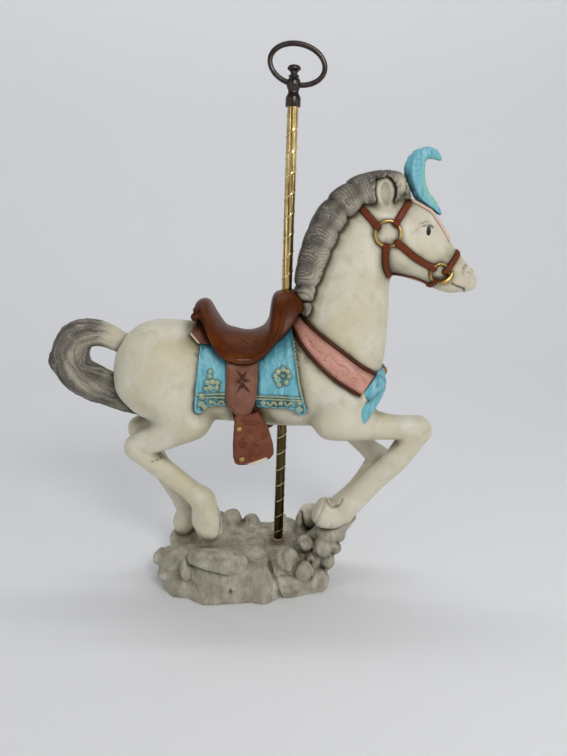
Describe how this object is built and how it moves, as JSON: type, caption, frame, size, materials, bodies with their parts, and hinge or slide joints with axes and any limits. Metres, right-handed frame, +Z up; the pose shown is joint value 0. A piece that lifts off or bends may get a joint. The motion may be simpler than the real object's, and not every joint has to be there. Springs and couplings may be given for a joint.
{
  "type": "carousel horse figurine",
  "caption": "Painted porcelain galloping carousel horse on a rock base, with a brass pole through its saddle and an oval bronze pull ring on top.",
  "frame": {"origin": "on the flat underside of the rocks, straight below the foot of the pole", "axes": "+X toward the horse's head, +Y toward the horse's left side, +Z up"},
  "size_m": [0.3756, 0.1131, 0.4755],
  "materials": {
    "bisque": "hand-painted bisque porcelain, ivory body with warm grey shading, painted tack, grey mane and beige-grey rocks",
    "pole_brass": "polished lacquered brass tube with a fine raised helical line, brown tarnish near the foot",
    "dark_bronze": "dark antique bronze with worn warm edges",
    "ring_bronze": "dark antique bronze wire with worn warm edges"
  },
  "bodies": {
    "root": {"horse_and_rocks": "bisque", "pole": "pole_brass", "finial": "dark_bronze", "pull_ring": "ring_bronze"}
  },
  "joints": []
}
